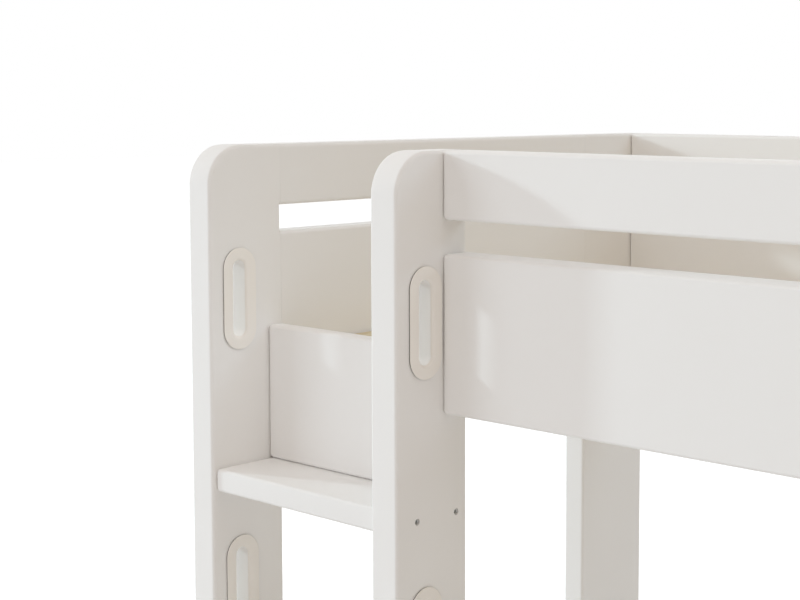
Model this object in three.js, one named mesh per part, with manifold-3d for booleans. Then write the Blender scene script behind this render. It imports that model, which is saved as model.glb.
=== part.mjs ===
// Child's loft bed with a ladder built into its front-left corner.
// Millimetres, +Z up. X runs along the bed, Y from the ladder side to the wall side.
// The finished group stands on Z = 0 with its bounding box centred on the Z axis.
import * as THREE from 'three';
import { mergeVertices } from 'three/addons/utils/BufferGeometryUtils.js';
import Module from 'manifold-3d';

const wasm = await Module();
wasm.setup();

// Mattress space
const mattressLength = 2000;
const mattressWidth = 900;
const mattressPlayLength = 10;
const mattressPlayWidth = 2;

// Slab posts
const frontPostThickness = 50;
const frontPostDepth = 140;
const rearPostThickness = 45;
const rearPostDepth = 187;
const postCrownRadius = 60;
const postCornerRadius = 8;
const postEdgeRadius = 5;

// Ladder between the front-left post and the ladder post
const ladderClearWidth = 345;
const topTreadDrop = 490;
const treadRise = 300;
const treadCount = 3;
const treadThickness = 35;
const treadSetback = 6.5;
const entryPanelThickness = 28;
const entryPanelDrop = 280;

// Rails and panels
const frontBoardThickness = 50;
const rearBoardThickness = 45;
const endBoardThickness = 45;
const topRailHeight = 95;
const sideGuardGap = 47;
const endGuardGap = 41;
const panelBottomDrop = 365;
const boardEdgeRadius = 6;
const boardEndRadius = 5;
const boardEdgeSteps = 3;
const boardEndSteps = 2;

// Joints of the boards
const tenonLength = 24;
const tenonThickness = 16;
const tenonShoulder = 16;
const tenonWall = 3;
const shoulderGap = 0.8;
const tongueLength = 10;
const tongueThickness = 10;
const jointPlay = 0.3;

// Slatted base
const slatDrop = 313;
const slatThickness = 20;
const slatWidth = 90;
const slatCount = 13;
const slatEndClearance = 5;
const slatSideClearance = 2;
const slatEdgeRadius = 3;
const ledgerWidth = 30;
const ledgerHeight = 30;
const ledgerEdgeRadius = 2;

// Grip slots and their moulded liners
const gripCentreFromFront = 56;
const upperGripDrop = 234;
const lowerGripClearance = 32;
const gripCoreLength = 93.6;
const gripBoreRadius = 11.5;
const linerWall = 3;
const linerFlangeRadius = 31.2;
const linerProud = 2.5;
const linerLipRadius = 5;
const linerRimRadius = 1.2;
const linerUndercut = 0.9;
const linerSteps = 10;

// Tread screws
const treadScrewRadius = 3;
const treadScrewHeadRadius = 4.5;
const treadScrewHeadHeight = 5;
const treadScrewBite = 45;
const treadScrewFrontOffset = 40;
const treadScrewRearOffset = 118;
const treadScrewSocket = 4;

// Bed bolts
const bedBoltRadius = 4;
const bedBoltHeadRadius = 8;
const bedBoltHeadHeight = 6;
const bedBoltBite = 60;
const bedBoltSocket = 6;
const headRecess = 0.5;
const fastenerSides = 12;
const socketDepthShare = 0.6;

// Sizes that follow
const innerLength = mattressLength + mattressPlayLength;
const innerWidth = mattressWidth + mattressPlayWidth;
const postHeight = topTreadDrop + treadRise * treadCount;
const depth = frontPostDepth + innerWidth + rearBoardThickness;
const rearPostFront = depth - rearPostDepth;
const sidePanelDrop = topRailHeight + sideGuardGap;
const endPanelDrop = topRailHeight + endGuardGap;
const sidePanelHeight = panelBottomDrop - sidePanelDrop;
const endPanelHeight = panelBottomDrop - endPanelDrop;
const leftInner = -innerLength / 2;
const rightInner = innerLength / 2;
const ladderPostLeft = leftInner + ladderClearWidth;
const ladderPostRight = ladderPostLeft + frontPostThickness;
const slatTop = postHeight - slatDrop;
const frontInner = frontPostDepth;
const rearInner = depth - rearBoardThickness;
const leftOuter = leftInner - frontPostThickness - linerProud;
const rightOuter = rightInner + frontPostThickness;

// Paint, plastic, raw wood and metal as the photograph shows them
const paint = { color: 0xe9e4dc, roughness: 0.45, metalness: 0 };
const gripPlastic = { color: 0xe6dccb, roughness: 0.5, metalness: 0 };
const rawWood = { color: 0xdcc9a2, roughness: 0.7, metalness: 0 };
const zincSteel = { color: 0x6d6a66, roughness: 0.4, metalness: 1 };

const bed = new THREE.Group();

function addPiece(name, geometry, finish, x, y, z) {
  const mesh = new THREE.Mesh(geometry, new THREE.MeshStandardMaterial(finish));
  mesh.name = name;
  mesh.position.set(x, y, z);
  bed.add(mesh);
  return mesh;
}

// Solids for joining and cutting
function toSolid(geometry) {
  const bare = geometry.clone();
  bare.deleteAttribute('normal');
  bare.deleteAttribute('uv');
  const welded = mergeVertices(bare, 1e-4);
  const vertProperties = new Float32Array(welded.attributes.position.array);
  const triVerts = new Uint32Array(welded.index.array);
  return new wasm.Manifold(new wasm.Mesh({ numProp: 3, vertProperties, triVerts }));
}

function toGeometry(solid) {
  const mesh = solid.getMesh();
  const geometry = new THREE.BufferGeometry();
  geometry.setAttribute('position', new THREE.BufferAttribute(mesh.vertProperties, 3));
  geometry.setIndex(new THREE.BufferAttribute(mesh.triVerts, 1));
  geometry.computeVertexNormals();
  return geometry;
}

// A box that spans the two corners
function boxBetween(low, high) {
  const size = high.map((value, i) => value - low[i]);
  const box = new THREE.BoxGeometry(...size);
  return box.translate(...low.map((value, i) => value + size[i] / 2));
}

// A round bar along X from x0 to x1
function barAlongX(radius, x0, x1, y, z) {
  const bar = new THREE.CylinderGeometry(radius, radius, x1 - x0, fastenerSides);
  return bar.rotateZ(-Math.PI / 2).translate((x0 + x1) / 2, y, z);
}

// Points on an arc that starts at the angle from and turns by the angle turn
function arcPoints(cx, cy, radius, from, turn, steps) {
  return Array.from({ length: steps + 1 }, (_, i) => {
    const angle = from + (turn * i) / steps;
    return new THREE.Vector2(cx + radius * Math.cos(angle), cy + radius * Math.sin(angle));
  });
}

// A rectangle from (x0, y0) to (x1, y1) whose corners are arcs. radii and steps go round
// counterclockwise from the corner at (x1, y0).
function roundedOutline(x0, y0, x1, y1, radii, steps) {
  const quarter = Math.PI / 2;
  return new THREE.Shape([
    ...arcPoints(x1 - radii[0], y0 + radii[0], radii[0], -quarter, quarter, steps[0]),
    ...arcPoints(x1 - radii[1], y1 - radii[1], radii[1], 0, quarter, steps[1]),
    ...arcPoints(x0 + radii[2], y1 - radii[2], radii[2], quarter, quarter, steps[2]),
    ...arcPoints(x0 + radii[3], y0 + radii[3], radii[3], 2 * quarter, quarter, steps[3]),
  ]);
}

// The axes that carry a section of thickness and height along X or along Y
const alongX = new THREE.Matrix4().makeBasis(
  new THREE.Vector3(0, 1, 0),
  new THREE.Vector3(0, 0, 1),
  new THREE.Vector3(1, 0, 0),
);
const alongY = new THREE.Matrix4().makeBasis(
  new THREE.Vector3(-1, 0, 0),
  new THREE.Vector3(0, 0, 1),
  new THREE.Vector3(0, 1, 0),
);

// A stick of rounded section, centred on its own origin, run along an axis. Its ends are cut
// square, or eased all round by the end radius.
function stick(length, thickness, height, radius, axes, steps, endRadius = 0) {
  const x = thickness / 2 - endRadius;
  const y = height / 2 - endRadius;
  const corners = Array(4).fill(radius - endRadius);
  const section = roundedOutline(-x, -y, x, y, corners, Array(4).fill(steps));
  const options = {
    depth: length - 2 * endRadius,
    bevelEnabled: endRadius > 0,
    bevelThickness: endRadius,
    bevelSize: endRadius,
    bevelSegments: boardEndSteps,
  };
  const geometry = new THREE.ExtrudeGeometry(section, options);
  return geometry.translate(0, 0, endRadius - length / 2).applyMatrix4(axes);
}

// A plain board with rounded edges
function board(length, thickness, height, axes, endRadius) {
  const blank = stick(length, thickness, height, boardEdgeRadius, axes, boardEdgeSteps, endRadius);
  return toSolid(blank);
}

// A board with a square-cut tenon on both ends. The tenon's gap is left at each shoulder.
function tenonedBoard(span, thickness, height, axes, tenon, endRadius) {
  const body = board(span - 2 * tenon.gap, thickness, height, axes, endRadius);
  const core = boxBetween(
    [-tenon.thickness / 2, -height / 2 + tenon.shoulder, -span / 2 - tenon.length],
    [tenon.thickness / 2, height / 2 - tenon.shoulder, span / 2 + tenon.length],
  );
  return body.add(toSolid(core.applyMatrix4(axes)));
}

// The pocket that a tenon fits, pointing along the axes from a face at the origin
function mortise(height, axes, tenon, direction) {
  const reach = tenon.length + jointPlay;
  const overcut = postEdgeRadius;
  const pocket = boxBetween(
    [-tenon.thickness / 2 - jointPlay, -height / 2 + tenon.shoulder - jointPlay, -overcut],
    [tenon.thickness / 2 + jointPlay, height / 2 - tenon.shoulder + jointPlay, reach],
  );
  if (direction < 0) pocket.translate(0, 0, overcut - reach);
  return pocket.applyMatrix4(axes);
}

// The tenons of the end boards stop short of the long boards' tenons, which cross their way
const endTenonLength = (frontBoardThickness - tenonThickness) / 2 - tenonWall;
const boardTenon = {
  length: tenonLength,
  thickness: tenonThickness,
  shoulder: tenonShoulder,
  gap: shoulderGap,
};
const endTenon = { ...boardTenon, length: endTenonLength, gap: jointPlay };
const panelTongue = { ...boardTenon, length: tongueLength, thickness: tongueThickness };

// Post blank: the slab's outline in Y and Z, extruded along X with all edges rounded.
// Its local origin is the inner-front corner at the floor, and it fills X from 0 to thickness.
function postBlank(thickness, postDepth, crownRadius) {
  const inset = postEdgeRadius;
  const corner = postCornerRadius - inset;
  const crown = crownRadius - inset;
  const outline = roundedOutline(
    inset,
    inset,
    postDepth - inset,
    postHeight - inset,
    [corner, corner, crown, corner],
    [2, 2, crown > corner ? 10 : 2, 2],
  );
  const options = {
    depth: thickness - 2 * inset,
    bevelThickness: inset,
    bevelSize: inset,
    bevelSegments: 3,
  };
  const slab = new THREE.ExtrudeGeometry(outline, options);
  return toSolid(slab.translate(0, 0, inset).applyMatrix4(alongX));
}

// Heights of the pieces that repeat. The lower grip stands clear of the tread below the top one.
const treadTops = Array.from({ length: treadCount }, (_, i) => (i + 1) * treadRise);
const treadUnderLowerGrip = postHeight - topTreadDrop - treadRise;
const gripHalfHeight = gripCoreLength / 2 + linerFlangeRadius;
const gripHeights = [
  postHeight - upperGripDrop,
  treadUnderLowerGrip + lowerGripClearance + gripHalfHeight,
];
const treadScrewOffsets = [treadScrewFrontOffset, treadScrewRearOffset];
const topRailCentre = postHeight - topRailHeight / 2;
const sidePanelCentre = postHeight - sidePanelDrop - sidePanelHeight / 2;
const endPanelCentre = postHeight - endPanelDrop - endPanelHeight / 2;
const entryPanelHeight = topTreadDrop - entryPanelDrop - jointPlay;
const entryPanelCentre = postHeight - entryPanelDrop - entryPanelHeight / 2;
const sideBoards = [
  { height: topRailHeight, centre: topRailCentre },
  { height: sidePanelHeight, centre: sidePanelCentre },
];
const endBoards = [
  { height: topRailHeight, centre: topRailCentre },
  { height: endPanelHeight, centre: endPanelCentre },
];

// The through slot of a grip: a stadium prism across the post
function gripSlot(thickness, z) {
  const radius = gripBoreRadius + linerWall + jointPlay;
  const half = gripCoreLength / 2;
  const outline = new THREE.Shape([
    ...arcPoints(0, half, radius, 0, Math.PI, linerSteps),
    ...arcPoints(0, -half, radius, Math.PI, Math.PI, linerSteps),
  ]);
  const options = { depth: 3 * thickness, bevelEnabled: false };
  const prism = new THREE.ExtrudeGeometry(outline, options);
  return prism.translate(0, 0, -thickness).applyMatrix4(alongX).translate(0, gripCentreFromFront, z);
}

// The stepped hole of a screw that enters a post from its face at x = face
function screwHole(fastener, face, inward, length, y, z) {
  const head = fastener.headHeight + headRecess + jointPlay;
  const span = (from, to) => [face + inward * from, face + inward * to].sort((a, b) => a - b);
  const recess = barAlongX(fastener.headRadius + jointPlay, ...span(-1, head), y, z);
  const shaft = barAlongX(fastener.radius + jointPlay, ...span(-1, length + jointPlay), y, z);
  return toSolid(recess).add(toSolid(shaft));
}

// A socket-head fastener along +X: its head starts at x = headRecess, its tip is at x = length
function fastenerGeometry(fastener, length) {
  const outline = [
    new THREE.Vector2(0, headRecess),
    new THREE.Vector2(fastener.headRadius, headRecess),
    new THREE.Vector2(fastener.headRadius, headRecess + fastener.headHeight),
    new THREE.Vector2(fastener.radius, headRecess + fastener.headHeight),
    new THREE.Vector2(fastener.radius, length - fastener.radius),
    new THREE.Vector2(0, length),
  ];
  const blank = new THREE.LatheGeometry(outline, fastenerSides);
  const socketDepth = fastener.headHeight * socketDepthShare;
  const socketRadius = fastener.socket / Math.sqrt(3);
  const socket = new THREE.CylinderGeometry(socketRadius, socketRadius, 2 * socketDepth, 6);
  const body = toSolid(blank).subtract(toSolid(socket.translate(0, headRecess, 0)));
  return toGeometry(body).rotateZ(-Math.PI / 2);
}

const treadScrew = {
  radius: treadScrewRadius,
  headRadius: treadScrewHeadRadius,
  headHeight: treadScrewHeadHeight,
  socket: treadScrewSocket,
};
const bedBolt = {
  radius: bedBoltRadius,
  headRadius: bedBoltHeadRadius,
  headHeight: bedBoltHeadHeight,
  socket: bedBoltSocket,
};
const treadScrewLength = frontPostThickness + treadScrewBite;

// A post blank that end boards meet flush. The rounding of its edges stops there: the post carries
// the board's own section up to the joint, so that only a hairline shows.
function flushBlank(blank, boardX, face, direction) {
  const run = 2 * postCornerRadius;
  let joined = blank;
  for (const place of endBoards) {
    const shoulder = board(run, endBoardThickness, place.height, alongY, 0);
    joined = joined.add(shoulder.translate(boardX, face + (direction * run) / 2, place.centre));
  }
  return joined;
}

// Ladder stiles. side is +1 where the ladder lies on the post's +X face and -1 on its -X face.
function ladderStile(blank, side) {
  let post = blank;
  for (const z of gripHeights) post = post.subtract(toSolid(gripSlot(frontPostThickness, z)));
  const outerFace = side > 0 ? 0 : frontPostThickness;
  for (const top of treadTops) {
    for (const y of treadScrewOffsets) {
      const z = top - treadThickness / 2;
      post = post.subtract(screwHole(treadScrew, outerFace, side, treadScrewLength, y, z));
    }
  }
  const ladderFace = side > 0 ? frontPostThickness : 0;
  const groove = mortise(entryPanelHeight, alongX, panelTongue, -side);
  groove.translate(ladderFace, frontPostDepth - entryPanelThickness / 2, entryPanelCentre);
  return post.subtract(toSolid(groove));
}

// Pockets for the end boards in the narrow face of a post that looks along Y
function cutEndMortises(post, boardX, face, direction) {
  let cut = post;
  for (const place of endBoards) {
    const pocket = mortise(place.height, alongY, endTenon, direction);
    cut = cut.subtract(toSolid(pocket.translate(boardX, face, place.centre)));
  }
  return cut;
}

// Pockets and bolt holes for the long boards in the wide face of a post that looks along X
function cutSideJoints(post, thickness, boardY, side) {
  const innerFace = side > 0 ? thickness : 0;
  const outerFace = side > 0 ? 0 : thickness;
  let cut = post;
  for (const place of sideBoards) {
    const pocket = mortise(place.height, alongX, boardTenon, -side);
    cut = cut.subtract(toSolid(pocket.translate(innerFace, boardY, place.centre)));
    cut = cut.subtract(screwHole(bedBolt, outerFace, side, thickness, boardY, place.centre));
  }
  return cut;
}

const frontBoardY = frontPostDepth - frontBoardThickness / 2;
const rearBoardY = depth - rearBoardThickness / 2;

// Posts, from the ladder corner round the bed. Each end board's centre lies half its thickness
// behind the post's inner face.
const halfEndBoard = endBoardThickness / 2;
const frontBlank = postBlank(frontPostThickness, frontPostDepth, postCrownRadius);
const rearBlank = postBlank(rearPostThickness, rearPostDepth, postCornerRadius);
const rearBoardInPost = rearBoardY - rearPostFront;

function frontCornerPost(boardX, cutFrontJoints) {
  const blank = flushBlank(frontBlank, boardX, frontPostDepth, -1);
  return toGeometry(cutEndMortises(cutFrontJoints(blank), boardX, frontPostDepth, -1));
}

function rearCornerPost(boardX, side) {
  const blank = flushBlank(rearBlank, boardX, 0, 1);
  const jointed = cutSideJoints(blank, rearPostThickness, rearBoardInPost, side);
  return toGeometry(cutEndMortises(jointed, boardX, 0, 1));
}

const leftPostX = leftInner - frontPostThickness;
const frontLeft = frontCornerPost(
  frontPostThickness - halfEndBoard,
  (blank) => ladderStile(blank, 1),
);
addPiece('front_left_post', frontLeft, paint, leftPostX, 0, 0);

const ladderPost = cutSideJoints(ladderStile(frontBlank, -1), frontPostThickness, frontBoardY, 1);
addPiece('ladder_post', toGeometry(ladderPost), paint, ladderPostLeft, 0, 0);

const frontRight = frontCornerPost(
  halfEndBoard,
  (blank) => cutSideJoints(blank, frontPostThickness, frontBoardY, -1),
);
addPiece('front_right_post', frontRight, paint, rightInner, 0, 0);

const rearLeftX = leftInner - rearPostThickness;
const rearLeft = rearCornerPost(rearPostThickness - halfEndBoard, 1);
addPiece('rear_left_post', rearLeft, paint, rearLeftX, rearPostFront, 0);

const rearRight = rearCornerPost(halfEndBoard, -1);
addPiece('rear_right_post', rearRight, paint, rightInner, rearPostFront, 0);

// Long boards: a tenon and a bolt hole in each end
function longBoard(span, thickness, height, postThickness) {
  let drilled = tenonedBoard(span, thickness, height, alongX, boardTenon, boardEndRadius);
  const bite = bedBoltBite + postThickness;
  for (const end of [-1, 1]) {
    const outer = end * (span / 2 + postThickness);
    drilled = drilled.subtract(screwHole(bedBolt, outer, -end, bite, 0, 0));
  }
  return toGeometry(drilled);
}

const frontSpan = rightInner - ladderPostRight;
const frontCentre = (rightInner + ladderPostRight) / 2;
const frontBoards = [
  ['front_top_rail', topRailHeight, topRailCentre],
  ['front_side_panel', sidePanelHeight, sidePanelCentre],
];
for (const [name, height, z] of frontBoards) {
  const made = longBoard(frontSpan, frontBoardThickness, height, frontPostThickness);
  addPiece(name, made, paint, frontCentre, frontBoardY, z);
}
const rearBoards = [
  ['rear_top_rail', topRailHeight, topRailCentre],
  ['rear_side_panel', sidePanelHeight, sidePanelCentre],
];
for (const [name, height, z] of rearBoards) {
  const made = longBoard(innerLength, rearBoardThickness, height, rearPostThickness);
  addPiece(name, made, paint, 0, rearBoardY, z);
}

// End boards, level with the inner faces of the posts
const endSpan = rearPostFront - frontPostDepth;
const endCentre = (rearPostFront + frontPostDepth) / 2;
const ends = [
  ['left', leftInner - endBoardThickness / 2],
  ['right', rightInner + endBoardThickness / 2],
];
for (const [side, x] of ends) {
  const rail = tenonedBoard(endSpan, endBoardThickness, topRailHeight, alongY, endTenon, 0);
  addPiece(`${side}_end_top_rail`, toGeometry(rail), paint, x, endCentre, topRailCentre);
  const panel = tenonedBoard(endSpan, endBoardThickness, endPanelHeight, alongY, endTenon, 0);
  addPiece(`${side}_end_panel`, toGeometry(panel), paint, x, endCentre, endPanelCentre);
}

// Entry panel and treads of the ladder
const ladderCentre = leftInner + ladderClearWidth / 2;
const entryPanel = tenonedBoard(
  ladderClearWidth,
  entryPanelThickness,
  entryPanelHeight,
  alongX,
  panelTongue,
  boardEndRadius,
);
const entryPanelY = frontPostDepth - entryPanelThickness / 2;
addPiece('entry_panel', toGeometry(entryPanel), paint, ladderCentre, entryPanelY, entryPanelCentre);

const treadDepth = frontPostDepth - treadSetback;
const treadY = treadSetback + treadDepth / 2;
function treadGeometry() {
  const length = ladderClearWidth - 2 * jointPlay;
  let tread = board(length, treadDepth, treadThickness, alongX, boardEndRadius);
  for (const end of [-1, 1]) {
    const outer = end * (ladderClearWidth / 2 + frontPostThickness);
    for (const y of treadScrewOffsets) {
      const hole = screwHole(treadScrew, outer, -end, treadScrewLength, y - treadY, 0);
      tread = tread.subtract(hole);
    }
  }
  return toGeometry(tread);
}
treadTops.forEach((top, i) => {
  const z = top - treadThickness / 2;
  addPiece(`tread_${i + 1}`, treadGeometry(), paint, ladderCentre, treadY, z);
});

// Tread screws, driven through the posts into the ends of each tread
treadTops.forEach((top, i) => {
  const z = top - treadThickness / 2;
  for (const [side, x, turn] of [['left', leftPostX, 0], ['right', ladderPostRight, Math.PI]]) {
    for (const [place, y] of [['front', treadScrewFrontOffset], ['rear', treadScrewRearOffset]]) {
      const name = `tread_${i + 1}_screw_${side}_${place}`;
      const screw = fastenerGeometry(treadScrew, treadScrewLength);
      addPiece(name, screw, zincSteel, x, y, z).rotation.z = turn;
    }
  }
});

// Bed bolts, through the posts and tenons into the long boards
const boltPlaces = [
  ['front', 'left', ladderPostLeft, 0, frontBoardY, frontPostThickness],
  ['front', 'right', rightInner + frontPostThickness, Math.PI, frontBoardY, frontPostThickness],
  ['rear', 'left', rearLeftX, 0, rearBoardY, rearPostThickness],
  ['rear', 'right', rightInner + rearPostThickness, Math.PI, rearBoardY, rearPostThickness],
];
for (const [row, side, x, turn, y, postThickness] of boltPlaces) {
  for (const [joined, z] of [['rail', topRailCentre], ['panel', sidePanelCentre]]) {
    const bolt = fastenerGeometry(bedBolt, bedBoltBite + postThickness);
    addPiece(`${row}_${joined}_bolt_${side}`, bolt, zincSteel, x, y, z).rotation.z = turn;
  }
}

// Slatted base on its two ledgers
const ledgerLength = innerLength - 2 * jointPlay;
const ledgerZ = slatTop - slatThickness - jointPlay - ledgerHeight / 2;
const ledgerPlaces = [
  ['front_slat_ledger', frontInner + jointPlay + ledgerWidth / 2],
  ['rear_slat_ledger', rearInner - jointPlay - ledgerWidth / 2],
];
for (const [name, y] of ledgerPlaces) {
  const ledger = stick(ledgerLength, ledgerWidth, ledgerHeight, ledgerEdgeRadius, alongX, 2);
  addPiece(name, toGeometry(toSolid(ledger)), rawWood, 0, y, ledgerZ);
}
const slatLength = innerWidth - 2 * slatSideClearance;
const slatPitch = (innerLength - 2 * slatEndClearance - slatWidth) / (slatCount - 1);
for (let i = 0; i < slatCount; i += 1) {
  const slat = stick(slatLength, slatWidth, slatThickness, slatEdgeRadius, alongY, 2);
  const x = leftInner + slatEndClearance + slatWidth / 2 + i * slatPitch;
  const y = frontInner + innerWidth / 2;
  const name = `slat_${String(i + 1).padStart(2, '0')}`;
  addPiece(name, toGeometry(toSolid(slat)), rawWood, x, y, slatTop - slatThickness / 2);
}

// Moulded half liner of a grip. Its section is a closed profile of radius and height that is
// carried round the slot's core line: half a turn about each end of the line, straight between.
// Height 0 is the post's face and the profile reaches down to the middle of the post.
function linerProfile() {
  const profile = [];
  const arc = (cr, ch, radius, from, to, steps) => {
    for (let i = 0; i <= steps; i += 1) {
      const angle = from + ((to - from) * i) / steps;
      profile.push([cr + radius * Math.cos(angle), ch + radius * Math.sin(angle)]);
    }
  };
  const sleeve = gripBoreRadius + linerWall;
  const foot = jointPlay / 2 - frontPostThickness / 2;
  profile.push([sleeve, foot], [sleeve, jointPlay]);
  profile.push([linerFlangeRadius - linerUndercut, jointPlay]);
  profile.push([linerFlangeRadius, jointPlay + linerUndercut]);
  const rim = linerRimRadius;
  arc(linerFlangeRadius - rim, linerProud - rim, rim, 0, Math.PI / 2, 2);
  const lip = linerLipRadius;
  arc(gripBoreRadius + lip, linerProud - lip, lip, Math.PI / 2, Math.PI, 3);
  profile.push([gripBoreRadius, foot]);
  return profile;
}

function linerGeometry() {
  const profile = linerProfile();
  const half = gripCoreLength / 2;
  const positions = [];
  const columns = 2 * (linerSteps + 1);
  for (let column = 0; column < columns; column += 1) {
    const upper = column <= linerSteps;
    const step = upper ? column : column - 1;
    const angle = (Math.PI * step) / linerSteps;
    for (const [radius, height] of profile) {
      const z = radius * Math.sin(angle) + (upper ? half : -half);
      positions.push(height, radius * Math.cos(angle), z);
    }
  }
  const rows = profile.length;
  const indices = [];
  for (let column = 0; column < columns; column += 1) {
    const next = (column + 1) % columns;
    for (let row = 0; row < rows; row += 1) {
      const above = (row + 1) % rows;
      const a = column * rows + row;
      const b = next * rows + row;
      const c = next * rows + above;
      const d = column * rows + above;
      indices.push(a, b, c, a, c, d);
    }
  }
  const geometry = new THREE.BufferGeometry();
  geometry.setAttribute('position', new THREE.Float32BufferAttribute(positions, 3));
  geometry.setIndex(indices);
  geometry.computeVertexNormals();
  return geometry;
}

const stiles = [['left', leftPostX], ['right', ladderPostLeft]];
for (const [stile, x] of stiles) {
  gripHeights.forEach((z, i) => {
    for (const [half, face, turn] of [['inner', frontPostThickness, 0], ['outer', 0, Math.PI]]) {
      const facesLadder = (stile === 'left') === (half === 'inner');
      const side = facesLadder ? 'ladder_side' : 'outer_side';
      const name = `grip_${stile}_${i + 1}_${side}`;
      const liner = addPiece(name, linerGeometry(), gripPlastic, x + face, gripCentreFromFront, z);
      liner.rotation.z = turn;
    }
  });
}

// Stand the group on the floor with its bounding box centred on the Z axis
bed.position.set(-(leftOuter + rightOuter) / 2, -depth / 2, 0);

export default bed;
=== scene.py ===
"""Child's loft bed with a ladder in its front-left corner, sprayed in warm white lacquer."""
import math

import bpy
import numpy as np
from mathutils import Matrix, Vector


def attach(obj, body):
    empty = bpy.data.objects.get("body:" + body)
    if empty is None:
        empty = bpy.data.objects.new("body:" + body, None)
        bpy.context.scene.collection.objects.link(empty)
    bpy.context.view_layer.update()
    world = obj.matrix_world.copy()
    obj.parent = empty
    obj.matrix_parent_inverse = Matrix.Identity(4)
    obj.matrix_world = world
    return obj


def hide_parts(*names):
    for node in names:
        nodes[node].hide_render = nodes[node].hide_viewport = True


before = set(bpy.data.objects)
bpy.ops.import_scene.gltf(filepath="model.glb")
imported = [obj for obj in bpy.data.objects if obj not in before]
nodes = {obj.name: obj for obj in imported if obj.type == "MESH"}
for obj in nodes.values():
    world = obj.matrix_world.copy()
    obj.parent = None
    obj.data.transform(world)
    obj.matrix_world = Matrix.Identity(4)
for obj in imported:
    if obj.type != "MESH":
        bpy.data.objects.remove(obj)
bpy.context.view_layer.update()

# Slab posts
# Five slabs of solid board stand on the floor and carry the bed. The two at the ladder are its
# stiles. They are cut out, routed round and sprayed with warm white satin lacquer.
posts = [
    "front_left_post",
    "ladder_post",
    "front_right_post",
    "rear_left_post",
    "rear_right_post",
]
lacquer_pale = (0.938, 0.923, 0.905, 1)
lacquer_deep = (0.922, 0.905, 0.886, 1)
lacquer_index = 1.47
satin_roughness = (0.38, 0.48)
noise_core = (0.3, 0.7)


def new_finish(name):
    """An empty material with its node tree and its shader."""
    material = bpy.data.materials.new(name)
    material.use_nodes = True
    tree = material.node_tree
    return material, tree, tree.nodes["Principled BSDF"]


def noise(tree, place, scale, detail):
    """Three-dimensional noise from 0 to 1, with so many cells a metre and layers of detail."""
    node = tree.nodes.new("ShaderNodeTexNoise")
    node.inputs["Scale"].default_value = scale
    node.inputs["Detail"].default_value = detail
    tree.links.new(place, node.inputs["Vector"])
    return node.outputs["Fac"]


def spread(tree, value, old, new):
    """The value with the old range, from low to high, mapped straight onto the new one."""
    node = tree.nodes.new("ShaderNodeMapRange")
    for socket, number in zip(("From Min", "From Max", "To Min", "To Max"), old + new):
        node.inputs[socket].default_value = number
    tree.links.new(value, node.inputs["Value"])
    return node.outputs["Result"]


def blend(tree, share, start, end):
    """A colour that goes from start to end with the share. Each is a colour or a socket."""
    node = tree.nodes.new("ShaderNodeMix")
    node.data_type = "RGBA"
    for socket, colour in (("A", start), ("B", end)):
        if isinstance(colour, tuple):
            node.inputs[socket].default_value = colour
        else:
            tree.links.new(colour, node.inputs[socket])
    tree.links.new(share, node.inputs["Factor"])
    return node.outputs["Result"]


def relief(tree, shader, height, depth, strength):
    """A bump as deep as the height times depth, in metres."""
    bump = tree.nodes.new("ShaderNodeBump")
    bump.inputs["Strength"].default_value = strength
    bump.inputs["Distance"].default_value = depth
    tree.links.new(height, bump.inputs["Height"])
    tree.links.new(bump.outputs["Normal"], shader.inputs["Normal"])


def sprayed_lacquer():
    """Satin lacquer: a slight cloud in colour and gloss, and orange peel a tenth of a
    millimetre deep. Most of the noise's values lie in its core range."""
    material, tree, shader = new_finish("satin_lacquer")
    place = tree.nodes.new("ShaderNodeTexCoord").outputs["Object"]
    cloud = noise(tree, place, scale=6.0, detail=3.0)
    tint = blend(tree, cloud, lacquer_deep, lacquer_pale)
    tree.links.new(tint, shader.inputs["Base Color"])
    tree.links.new(spread(tree, cloud, noise_core, satin_roughness), shader.inputs["Roughness"])
    peel = noise(tree, place, scale=260.0, detail=2.0)
    relief(tree, shader, peel, depth=0.0001, strength=0.25)
    shader.inputs["IOR"].default_value = lacquer_index
    return material


def rounded_faces():
    """A modifier group that joins a solid's loose triangles and shades its roundings smooth.

    Edges between faces that turn by more than the crease angle stay sharp."""
    crease = math.radians(38)
    weld_distance = 0.00002
    group = bpy.data.node_groups.new("rounded_faces", "GeometryNodeTree")
    group.interface.new_socket("Geometry", in_out="INPUT", socket_type="NodeSocketGeometry")
    group.interface.new_socket("Geometry", in_out="OUTPUT", socket_type="NodeSocketGeometry")
    entry = group.nodes.new("NodeGroupInput")
    leave = group.nodes.new("NodeGroupOutput")
    bare = group.nodes.new("GeometryNodeRemoveAttribute")
    bare.inputs["Name"].default_value = "custom_normal"
    weld = group.nodes.new("GeometryNodeMergeByDistance")
    weld.inputs["Distance"].default_value = weld_distance
    smooth_faces = group.nodes.new("GeometryNodeSetShadeSmooth")
    smooth_faces.domain = "FACE"
    sharp_edges = group.nodes.new("GeometryNodeSetShadeSmooth")
    sharp_edges.domain = "EDGE"
    sharp_edges.inputs["Shade Smooth"].default_value = False
    turn = group.nodes.new("GeometryNodeInputMeshEdgeAngle")
    over = group.nodes.new("FunctionNodeCompare")
    over.data_type = "FLOAT"
    over.operation = "GREATER_THAN"
    over.inputs["B"].default_value = crease
    join = group.links.new
    join(entry.outputs["Geometry"], bare.inputs["Geometry"])
    join(bare.outputs["Geometry"], weld.inputs["Geometry"])
    join(weld.outputs["Geometry"], smooth_faces.inputs["Geometry"])
    join(smooth_faces.outputs["Geometry"], sharp_edges.inputs["Geometry"])
    join(turn.outputs["Unsigned Angle"], over.inputs["A"])
    join(over.outputs["Result"], sharp_edges.inputs["Selection"])
    join(sharp_edges.outputs["Geometry"], leave.inputs["Geometry"])
    return group


roundings = rounded_faces()


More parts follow.
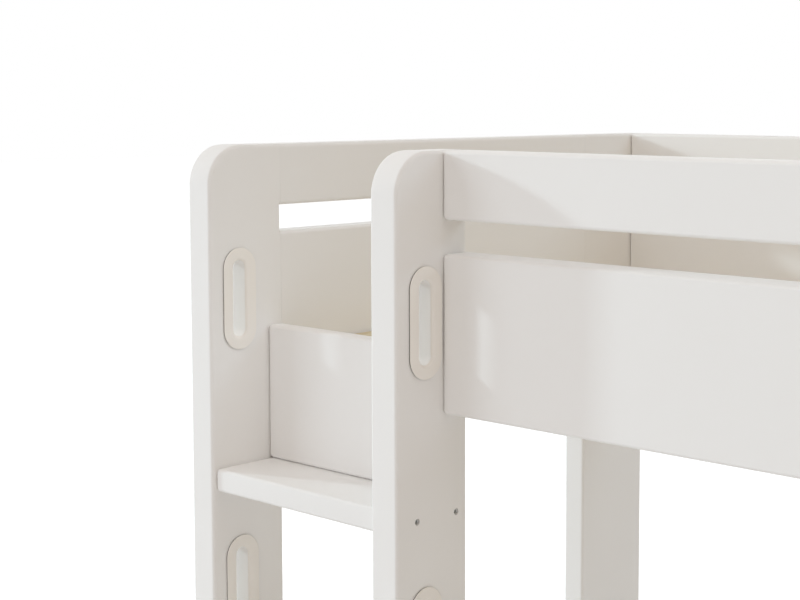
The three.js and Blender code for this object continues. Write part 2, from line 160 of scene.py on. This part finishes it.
def dress(name, finish):
    """Give a node its finish, shade its rounded edges smooth and keep its flat faces flat."""
    node = nodes[name]
    node.data.materials.clear()
    node.data.materials.append(finish)
    node.modifiers.new("rounded_faces", "NODES").node_group = roundings
    level = node.modifiers.new("flat_faces", "WEIGHTED_NORMAL")
    level.keep_sharp = True
    level.weight = 100


lacquer = sprayed_lacquer()
for name in posts:
    dress(name, lacquer)

# Guard rails and panels
# The long boards run from post to post in front and behind, and the end boards lie level with the
# inner faces of their posts. They are solid boards with rounded edges and tenons, sprayed as well.
boards = [
    "front_top_rail",
    "front_side_panel",
    "rear_top_rail",
    "rear_side_panel",
    "left_end_top_rail",
    "left_end_panel",
    "right_end_top_rail",
    "right_end_panel",
]
for name in boards:
    dress(name, lacquer)

# Ladder
# Three deep treads are screwed between the stiles. A thin entry panel stands on the top one, with a
# tongue in a groove of each stile. They have the same lacquer.
for name in ["tread_1", "tread_2", "tread_3", "entry_panel"]:
    dress(name, lacquer)

# Grip liners
# A grip is a slot through the stile, lined by two moulded halves that meet in the middle. Each has
# a cream flange with a rounded rim and a fine matte texture. Its bore is painted whiter than the
# flange: painted light, standing in for the light that reaches into the slot. A black strip under
# the flange darkens the gap there: painted shade.
grip_centre_y = -0.4875
upper_grip_z = 1.156
lower_grip_z = 0.710
grip_core_half = 0.0468
grip_bore = 0.0115
grip_wall = 0.003
grip_flange = 0.0312
grip_proud = 0.0025
flange_underside = 0.0014
grip_lip = 0.005
grip_rim = 0.0007
shade_strip_inset = 0.0006
shade_strip_play = 0.0001
grip_meeting = 0.02485
liner_cream = (0.965, 0.927, 0.875, 1)
liner_sand = (0.955, 0.915, 0.86, 1)
# The bore's two tones are whiter than the flange's: painted light for the light that reaches into the
# slot.
painted_light_bore_pale = (0.99, 0.972, 0.948, 1)
painted_light_bore_deep = (0.983, 0.965, 0.941, 1)
painted_light_bore_sides = 4
plastic_roughness = (0.5, 0.6)
# A black strip under each flange darkens the gap there: painted shade.
painted_shade_black = (0.018, 0.017, 0.016, 1)
painted_shade_grey = (0.03, 0.028, 0.026, 1)
shade_strip_roughness = (0.75, 0.9)
around_grip = 40


def moulded_plastic(name, deep, pale):
    """Matte plastic: two close tones and a fine spark-eroded texture."""
    material, tree, shader = new_finish(name)
    place = tree.nodes.new("ShaderNodeTexCoord").outputs["Object"]
    cloud = noise(tree, place, scale=40.0, detail=3.0)
    tree.links.new(blend(tree, cloud, deep, pale), shader.inputs["Base Color"])
    tree.links.new(spread(tree, cloud, noise_core, plastic_roughness), shader.inputs["Roughness"])
    sparks = noise(tree, place, scale=1400.0, detail=2.0)
    relief(tree, shader, sparks, depth=0.00006, strength=0.4)
    return material


def painted_shade_strip():
    """Black with a dull cloud: painted shade for the gap under a flange."""
    material, tree, shader = new_finish("painted_shade_strip")
    place = tree.nodes.new("ShaderNodeTexCoord").outputs["Object"]
    bloom = noise(tree, place, scale=90.0, detail=3.0)
    tree.links.new(blend(tree, bloom, painted_shade_black, painted_shade_grey), shader.inputs["Base Color"])
    tree.links.new(spread(tree, bloom, noise_core, shade_strip_roughness), shader.inputs["Roughness"])
    return material


def arc(centre, radius, start, end, steps):
    """Points on an arc about a centre, from one angle to another in degrees, both ends included."""
    angle = np.radians(np.linspace(start, end, steps + 1))
    return np.stack([centre[0] + radius * np.cos(angle), centre[1] + radius * np.sin(angle)], 1)


def liner_profile():
    """A half liner's section as radius and height above the stile's face, anticlockwise.

    Up the outside of the sleeve, out under the flange, round the rim, in over the flat ring,
    round the lip and down the bore to the plane where the halves meet."""
    sleeve = grip_bore + grip_wall
    under = grip_rim / 2
    return np.concatenate([
        [[sleeve, -grip_meeting], [sleeve, flange_underside]],
        arc((grip_flange - under, flange_underside + under), under, start=-90, end=0, steps=3),
        arc((grip_flange - grip_rim, grip_proud - grip_rim), grip_rim, start=0, end=90, steps=6),
        arc((grip_bore + grip_lip, grip_proud - grip_lip), grip_lip, start=90, end=180, steps=10),
        [[grip_bore, -grip_meeting]],
    ])


def liner_tones_with_painted_light(shell):
    """The finish of each quad of a liner: 2, the whiter one with painted light, for the last sides of
    its section.

    These are the inner end of the lip, the bore and the plane where the halves meet."""
    tone = np.zeros(shell.shape[:2], int)
    tone[:, -painted_light_bore_sides:] = 2
    return tone.ravel()


def shade_strip_profile():
    """The black strip's section, painted shade: a flat strip between the sleeve and the flange's rim,
    under the flange.
    """
    inner = grip_bore + grip_wall + shade_strip_play
    outer = grip_flange - shade_strip_inset
    top = flange_underside - shade_strip_play
    return np.array([[inner, shade_strip_play], [outer, shade_strip_play], [outer, top], [inner, top]])


def swept_round_slot(profile, face_x, turn, centre_z, steps):
    """Carry a closed section of radius r and height h once round the slot's core line.

    At the angle a the point is x = face + turn * h, y = centre + turn * r * cos(a) and
    z = centre + r * sin(a), moved up or down by half the core line on its two half turns."""
    half_turn = np.linspace(0, math.pi, steps + 1)
    angle = np.concatenate([half_turn, half_turn + math.pi])[:, None]
    shift = np.where(np.arange(angle.size) <= steps, grip_core_half, -grip_core_half)[:, None]
    radius, height = profile[:, 0], profile[:, 1]
    x = face_x + turn * height + 0 * angle
    y = grip_centre_y + turn * radius * np.cos(angle)
    z = centre_z + radius * np.sin(angle) + shift
    return np.stack([x, y, z], 2)


def closed_grid(points, first=0):
    """Quads over a grid of points that closes on itself both ways, wound to face outwards.

    The sign of the volume under the surface, a sum of triple products, tells which way they face."""
    rows, columns = points.shape[:2]
    index = first + np.arange(rows * columns).reshape(rows, columns)
    right = np.roll(index, -1, 1)
    quads = np.stack([index, right, np.roll(right, -1, 0), np.roll(index, -1, 0)], 2).reshape(-1, 4)
    place = points.reshape(-1, 3)
    a, b, c, d = (place[quads[:, k] - first] for k in range(4))
    volume = np.einsum("ij,ij->", np.cross(a, b), c) + np.einsum("ij,ij->", np.cross(a, c), d)
    return quads if volume > 0 else quads[:, ::-1]


def make_piece(name, points, quads, finishes, finish_of=None, crease=40):
    """A named object at the origin from points and quads, smooth but for edges over the crease."""
    mesh = bpy.data.meshes.new(name)
    mesh.from_pydata(points.reshape(-1, 3), [], quads)
    for finish in finishes:
        mesh.materials.append(finish)
    if finish_of is not None:
        mesh.polygons.foreach_set("material_index", finish_of)
    mesh.polygons.foreach_set("use_smooth", np.ones(len(quads), bool))
    mesh.set_sharp_from_angle(angle=math.radians(crease))
    piece = bpy.data.objects.new(name, mesh)
    bpy.context.scene.collection.objects.link(piece)
    return piece


plastic = moulded_plastic("grip_plastic", liner_sand, liner_cream)
# The bore's whiter plastic is painted light for the light that reaches into the slot.
painted_light_bore_plastic = moulded_plastic("painted_light_bore_plastic", painted_light_bore_deep, painted_light_bore_pale)
# Painted shade: a black strip under each flange darkens the gap there.
shade_strip_finish = painted_shade_strip()
liner_faces = {
    "grip_left_{}_outer_side": (-1.05375, -1),
    "grip_left_{}_ladder_side": (-1.00375, 1),
    "grip_right_{}_ladder_side": (-0.65875, -1),
    "grip_right_{}_outer_side": (-0.60875, 1),
}
for pattern, (face_x, turn) in liner_faces.items():
    for number, z in ((1, upper_grip_z), (2, lower_grip_z)):
        shell = swept_round_slot(liner_profile(), face_x, turn, z, around_grip)
        shade_strip = swept_round_slot(shade_strip_profile(), face_x, turn, z, around_grip)
        shell_quads = closed_grid(shell)
        shade_strip_quads = closed_grid(shade_strip, shell.size // 3)
        points = np.concatenate([shell.reshape(-1, 3), shade_strip.reshape(-1, 3)])
        quads = np.concatenate([shell_quads, shade_strip_quads])
        finish_of = np.concatenate([liner_tones_with_painted_light(shell), np.ones(len(shade_strip_quads), int)])
        name = pattern.format(number)
        piece = make_piece("fine_" + name, points, quads, [plastic, shade_strip_finish, painted_light_bore_plastic], finish_of)
        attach(piece, "root")
        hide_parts(name)

# Slatted base
# Thirteen planed pine slats lie on a pine ledger behind each long panel. The wood is left raw, so
# its growth rings and fibres show, and no two slats come from the same plank.
pine_early = (0.72, 0.66, 0.48, 1)
pine_late = (0.56, 0.43, 0.26, 1)
pine_fibre = (0.65, 0.56, 0.38, 1)
pine_roughness = (0.62, 0.75)
ring_scale = 95.0
ring_darkening = ((0.35, 1.0), (0.0, 0.75))
fibre_darkening = ((0.4, 0.75), (0.0, 0.35))
drawn_out = 0.05
slat_count = 13
first_slat_x = -0.95375
slat_pitch = 1.91 / (slat_count - 1)
heart_sway = 0.03
heart_turns = (2.4, 1.7)
heart_height = -0.96
heart_step = 0.31
ledger_hearts = {"front": (0.4, 0.36, -0.99), "rear": (1.1, -0.51, -0.98)}
ledger_seeds = {"front": 3.0, "rear": 8.0}


def raw_pine(name, along_x, heart, seed):
    """Pine cut from a log whose heart lies beside the board, with the grain along X or Y.

    Rings are a saw wave of the distance from the heart's axis, stretched twenty times along it
    and bent by noise: they darken slowly and end sharply. Fibres are noise drawn out the same way."""
    material, tree, shader = new_finish(name)
    place = tree.nodes.new("ShaderNodeTexCoord").outputs["Object"]
    centred = tree.nodes.new("ShaderNodeMapping")
    centred.vector_type = "POINT"
    centred.inputs["Location"].default_value = heart
    centred.inputs["Scale"].default_value = (drawn_out, 1, 1) if along_x else (1, drawn_out, 1)
    tree.links.new(place, centred.inputs["Vector"])
    log = centred.outputs["Vector"]
    rings = tree.nodes.new("ShaderNodeTexWave")
    rings.wave_type = "RINGS"
    rings.rings_direction = "X" if along_x else "Y"
    rings.wave_profile = "SAW"
    rings.inputs["Scale"].default_value = ring_scale
    rings.inputs["Distortion"].default_value = 9.0
    rings.inputs["Detail"].default_value = 2.0
    rings.inputs["Detail Scale"].default_value = 0.35
    rings.inputs["Phase Offset"].default_value = seed
    tree.links.new(log, rings.inputs["Vector"])
    late = spread(tree, rings.outputs["Fac"], *ring_darkening)
    fibre = noise(tree, log, scale=900.0, detail=3.0)
    streaked = blend(tree, spread(tree, fibre, *fibre_darkening), pine_early, pine_fibre)
    tree.links.new(blend(tree, late, streaked, pine_late), shader.inputs["Base Color"])
    tree.links.new(spread(tree, fibre, noise_core, pine_roughness), shader.inputs["Roughness"])
    relief(tree, shader, fibre, depth=0.00012, strength=0.5)
    return material


for number in range(1, slat_count + 1):
    slat_x = first_slat_x + slat_pitch * (number - 1)
    heart_x = heart_sway * math.sin(heart_turns[0] * number)
    heart_z = heart_height - heart_sway * math.cos(heart_turns[1] * number)
    heart = (heart_x - slat_x, heart_step * number, heart_z)
    finish = raw_pine(f"pine_slat_{number:02d}", along_x=False, heart=heart, seed=number)
    dress(f"slat_{number:02d}", finish)
for side, heart in ledger_hearts.items():
    finish = raw_pine(f"pine_{side}_ledger", along_x=True, heart=heart, seed=ledger_seeds[side])
    dress(f"{side}_slat_ledger", finish)

# Screws and bolts
# The treads hang on two screws at each end, the long boards on one bolt at each end. All are dark
# zinc-plated steel with a hexagon socket in a cylinder head, sunk two millimetres in its hole.
tread_screw = {"radius": 0.003, "head": 0.0044, "deep": 0.0035, "socket": 0.0048}
tread_screw_length = 0.095
bed_bolt = {"radius": 0.004, "head": 0.008, "deep": 0.0045, "socket": 0.006}
head_recess = 0.0022
head_edge = 0.0004
socket_share = 0.8
socket_cone = 0.0006
on_axis = 0.00001
around_fastener = 48
tread_tops = {1: 0.3, 2: 0.6, 3: 0.9}
tread_half = 0.0175
tread_ends = {"left": (-1.05375, 1), "right": (-0.60875, -1)}
tread_screw_places = {"front": -0.5035, "rear": -0.4255}
board_middles = {"rail": 1.3425, "panel": 1.1365}
bolt_rows = [
    ("front", "left", -0.65875, 1, -0.4285, 0.11),
    ("front", "right", 1.05625, -1, -0.4285, 0.11),
    ("rear", "left", -1.04875, 1, 0.521, 0.105),
    ("rear", "right", 1.05125, -1, 0.521, 0.105),
]
zinc_dark = (0.42, 0.41, 0.39, 1)
zinc_light = (0.52, 0.51, 0.49, 1)
zinc_roughness = (0.3, 0.45)


def plated_steel():
    """Dark zinc on steel: cloudy grey with a fine drawn grain in its gloss."""
    material, tree, shader = new_finish("zinc_steel")
    place = tree.nodes.new("ShaderNodeTexCoord").outputs["Object"]
    cloud = noise(tree, place, scale=300.0, detail=4.0)
    tree.links.new(blend(tree, cloud, zinc_dark, zinc_light), shader.inputs["Base Color"])
    tree.links.new(spread(tree, cloud, noise_core, zinc_roughness), shader.inputs["Roughness"])
    grain = noise(tree, place, scale=2500.0, detail=2.0)
    relief(tree, shader, grain, depth=0.00003, strength=0.4)
    shader.inputs["Metallic"].default_value = 1.0
    return material


def turned(outline, hexagon, start_x, turn, centre_y, centre_z, steps):
    """A closed body of revolution about a line along X, with a hexagonal socket.

    A point of the outline has a distance t from the head's face and a radius r. Where its hexagon
    share is 1, r at the angle a becomes r * cos(30) / cos(b), b being a's distance from the middle
    of its side, so that the socket's wall is flat. The outline starts and ends on the axis."""
    angle = np.linspace(0, 2 * math.pi, steps, endpoint=False)[:, None]
    from_side = (angle + math.pi / 6) % (math.pi / 3) - math.pi / 6
    flat = math.cos(math.pi / 6) / np.cos(from_side)
    travel, radius = outline[:, 0], outline[:, 1]
    radius = radius * (1 + hexagon * (flat - 1))
    x = start_x + turn * travel + 0 * angle
    y = centre_y + turn * radius * np.cos(angle)
    z = centre_z + radius * np.sin(angle)
    return np.stack([x, y, z], 2)


def fastener(name, kind, length, start_x, turn, centre_y, centre_z):
    """A socket-head fastener that replaces the plain one of the same name."""
    socket = kind["socket"] / math.sqrt(3)
    depth = head_recess + socket_share * kind["deep"]
    under = head_recess + kind["deep"]
    outline = np.array([
        [depth + socket_cone, on_axis],
        [depth, socket],
        [head_recess + head_edge, socket],
        [head_recess, socket + head_edge],
        [head_recess, kind["head"] - head_edge],
        [head_recess + head_edge, kind["head"]],
        [under, kind["head"]],
        [under, kind["radius"] + head_edge],
        [under + head_edge, kind["radius"]],
        [length - kind["radius"], kind["radius"]],
        [length, on_axis],
    ])
    hexagon = np.array([0, 1, 1, 0, 0, 0, 0, 0, 0, 0, 0])
    points = turned(outline, hexagon, start_x, turn, centre_y, centre_z, around_fastener)
    piece = make_piece("fine_" + name, points, closed_grid(points), [steel], crease=30)
    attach(piece, "root")
    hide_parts(name)


steel = plated_steel()
for tread, top in tread_tops.items():
    for side, (start_x, turn) in tread_ends.items():
        for place, y in tread_screw_places.items():
            name = f"tread_{tread}_screw_{side}_{place}"
            fastener(name, tread_screw, tread_screw_length, start_x, turn, y, top - tread_half)
for row, side, start_x, turn, y, length in bolt_rows:
    for board, z in board_middles.items():
        fastener(f"{row}_{board}_bolt_{side}", bed_bolt, length, start_x, turn, y, z)

# Slat screws
# A small wood screw with a low domed head holds each end of a slat to its ledger, and a row of the
# same screws holds each ledger to its panel. The solids leave them out.
screw_head = 0.004
screw_rise = 0.0008
screw_socket = 0.0016
screw_socket_depth = 0.0018
screw_cone = 0.0035
screw_shank = 0.0018
slat_screw_length = 0.045
ledger_screw_length = 0.05
around_wood_screw = 24
dome_points = 6
slat_top = 1.077
ledger_middle = 1.0417
ledger_bays = [0, 2, 4, 7, 9, 11]
ledger_rows = {"front": (-0.3882, -0.3732, -1), "rear": (0.4832, 0.4682, 1)}


def wood_screw(length):
    """A screw's outline as distance from its top and radius. The dome falls as the radius squared."""
    dome_radius = np.linspace(screw_socket, screw_head, dome_points)
    dome = np.stack([screw_rise * (dome_radius / screw_head) ** 2, dome_radius], 1)
    return np.concatenate([
        [[screw_socket_depth, on_axis], [screw_socket_depth, screw_socket]],
        dome,
        [[screw_rise + screw_cone, screw_shank], [length, on_axis]],
    ])


def screw_row(name, outline, first_axis, places):
    """One piece of many screws. A place is the screw's top, its way in and its two other
    coordinates. A screw is turned about X, and its three coordinates then move round until its
    line runs along the first axis given, 1 for Y and 2 for Z."""
    hexagon = np.array([0, 1, 1] + [0] * (len(outline) - 3))
    bodies = [turned(outline, hexagon, *place, around_wood_screw) for place in places]
    screws = [np.roll(body, first_axis, 2) for body in bodies]
    quads = [closed_grid(screw, number * screw.size // 3) for number, screw in enumerate(screws)]
    piece = make_piece(name, np.concatenate(screws).reshape(-1, 3), np.concatenate(quads), [steel])
    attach(piece, "root")


slat_middles = first_slat_x + slat_pitch * np.arange(slat_count)
ledger_middles = slat_middles[ledger_bays] + slat_pitch / 2
for side, (ledger_y, face_y, way_in) in ledger_rows.items():
    down = [(slat_top + screw_rise, -1, x, ledger_y) for x in slat_middles]
    screw_row(f"{side}_slat_screws", wood_screw(slat_screw_length), 2, down)
    across = [(face_y - way_in * screw_rise, way_in, ledger_middle, x) for x in ledger_middles]
    screw_row(f"{side}_ledger_screws", wood_screw(ledger_screw_length), 1, across)

# Studio
# A white floor and backdrop under even light all round. A small far lamp and a broad one from the
# left front draw the shadows, and four weaker lamps lighten the end, the front, the back and the
# top. For the camera the floor glows a little, least beside the bed, where its shadow lies.
floor_half = 30.0
floor_white = (0.92, 0.92, 0.92, 1)
floor_glow = (0.45, 0.78)
glow_reach = (1.2, 4.0)
glow_colour = (0.91, 0.96, 1, 1)
room_light = (1.0, 0.866, 0.743, 1)
room_strength = 0.4
floor_roughness = 0.9
lit_corner = (-0.6, -0.5, 1.2)


def seen_share(tree):
    """1 for a ray from the camera or from a mirror-like or clear surface, and 0 for all others."""
    path = tree.nodes.new("ShaderNodeLightPath")
    share = path.outputs["Is Camera Ray"]
    for ray in ("Is Glossy Ray", "Is Transmission Ray"):
        larger = tree.nodes.new("ShaderNodeMath")
        larger.operation = "MAXIMUM"
        tree.links.new(share, larger.inputs[0])
        tree.links.new(path.outputs[ray], larger.inputs[1])
        share = larger.outputs[0]
    return share


def lamp(name, travel, distance, size, power, colour):
    """A rectangular lamp whose light travels along a direction onto the lit corner."""
    data = bpy.data.lights.new(name, "AREA")
    data.shape = "RECTANGLE"
    data.size, data.size_y = size
    data.energy = power
    data.color = colour
    made = bpy.data.objects.new(name, data)
    bpy.context.scene.collection.objects.link(made)
    travel = Vector(travel).normalized()
    made.location = Vector(lit_corner) - travel * distance
    made.rotation_euler = travel.to_track_quat("-Z", "Y").to_euler()
    made.visible_camera = False
    made.visible_glossy = False


floor_finish, tree, shader = new_finish("studio_floor")
shader.inputs["Base Color"].default_value = floor_white
shader.inputs["Roughness"].default_value = floor_roughness
shader.inputs["Specular IOR Level"].default_value = 0
shader.inputs["Emission Color"].default_value = glow_colour
away = tree.nodes.new("ShaderNodeVectorMath")
away.operation = "LENGTH"
tree.links.new(tree.nodes.new("ShaderNodeTexCoord").outputs["Object"], away.inputs[0])
glow_here = spread(tree, away.outputs["Value"], glow_reach, floor_glow)
seen = tree.nodes.new("ShaderNodeMath")
seen.operation = "MULTIPLY"
tree.links.new(glow_here, seen.inputs[0])
tree.links.new(seen_share(tree), seen.inputs[1])
tree.links.new(seen.outputs[0], shader.inputs["Emission Strength"])
floor_mesh = bpy.data.meshes.new("studio_floor")
floor_corners = floor_half * np.array([(-1, -1, 0), (1, -1, 0), (1, 1, 0), (-1, 1, 0)])
floor_mesh.from_pydata(floor_corners, [], [(0, 1, 2, 3)])
floor_mesh.materials.append(floor_finish)
floor = bpy.data.objects.new("studio_floor", floor_mesh)
bpy.context.scene.collection.objects.link(floor)

world = bpy.data.worlds.new("studio")
bpy.context.scene.world = world
world.use_nodes = True
tree = world.node_tree
room = tree.nodes["Background"]
room.inputs["Color"].default_value = room_light
room.inputs["Strength"].default_value = room_strength
white = tree.nodes.new("ShaderNodeBackground")
white.inputs["Color"].default_value = (1, 1, 1, 1)
either = tree.nodes.new("ShaderNodeMixShader")
tree.links.new(seen_share(tree), either.inputs[0])
tree.links.new(room.outputs["Background"], either.inputs[1])
tree.links.new(white.outputs["Background"], either.inputs[2])
tree.links.new(either.outputs["Shader"], tree.nodes["World Output"].inputs["Surface"])

lamp("far_lamp", travel=(3.05, 1, -0.88), distance=13.0, size=(0.75, 0.75), power=635.0,
     colour=(0.745, 0.91, 1.0))
lamp("broad_lamp", travel=(0.87, 1, -0.35), distance=12.0, size=(6.0, 4.5), power=250.0,
     colour=(0.79, 0.9, 1.0))
lamp("side_lamp", travel=(1, -0.02, -0.12), distance=8.0, size=(2.4, 2.4), power=30.0,
     colour=(0.94, 0.92, 1.0))
lamp("front_lamp", travel=(0.03, 1, -0.45), distance=10.0, size=(3.0, 3.0), power=98.0,
     colour=(0.83, 0.9, 1.0))
lamp("back_lamp", travel=(-1, -1, -0.9), distance=5.0, size=(2.0, 2.0), power=38.0,
     colour=(0.7, 0.86, 1.0))
lamp("overhead_lamp", travel=(-0.4, 0.1, -1), distance=4.0, size=(4.0, 4.0), power=40.0,
     colour=(1.0, 0.975, 0.955))

# Camera
# The photograph's own camera, at a standing adult's eye height in front of the right half, with
# the middle of its lens a little to the right of the picture's middle and above it.
photo_width, photo_height = 800, 600
focal_pixels = 1619.85
lens_x, lens_y = 460, 235
sensor = 36.0
camera_yaw = 42.8768
camera_pitch = 4.9526
camera_data = bpy.data.cameras.new("photo_camera")
camera_data.sensor_width = sensor
camera_data.lens = focal_pixels / photo_width * sensor
camera_data.shift_x = (photo_width / 2 - lens_x) / photo_width
camera_data.shift_y = (lens_y - photo_height / 2) / photo_width
camera_data.clip_end = 200.0
camera = bpy.data.objects.new("photo_camera", camera_data)
bpy.context.scene.collection.objects.link(camera)
camera.location = (0.91438, -2.05808, 1.46591)
camera.rotation_euler = (math.radians(90 - camera_pitch), 0, math.radians(camera_yaw))
bpy.context.scene.camera = camera
bpy.context.scene.view_settings.view_transform = "Standard"
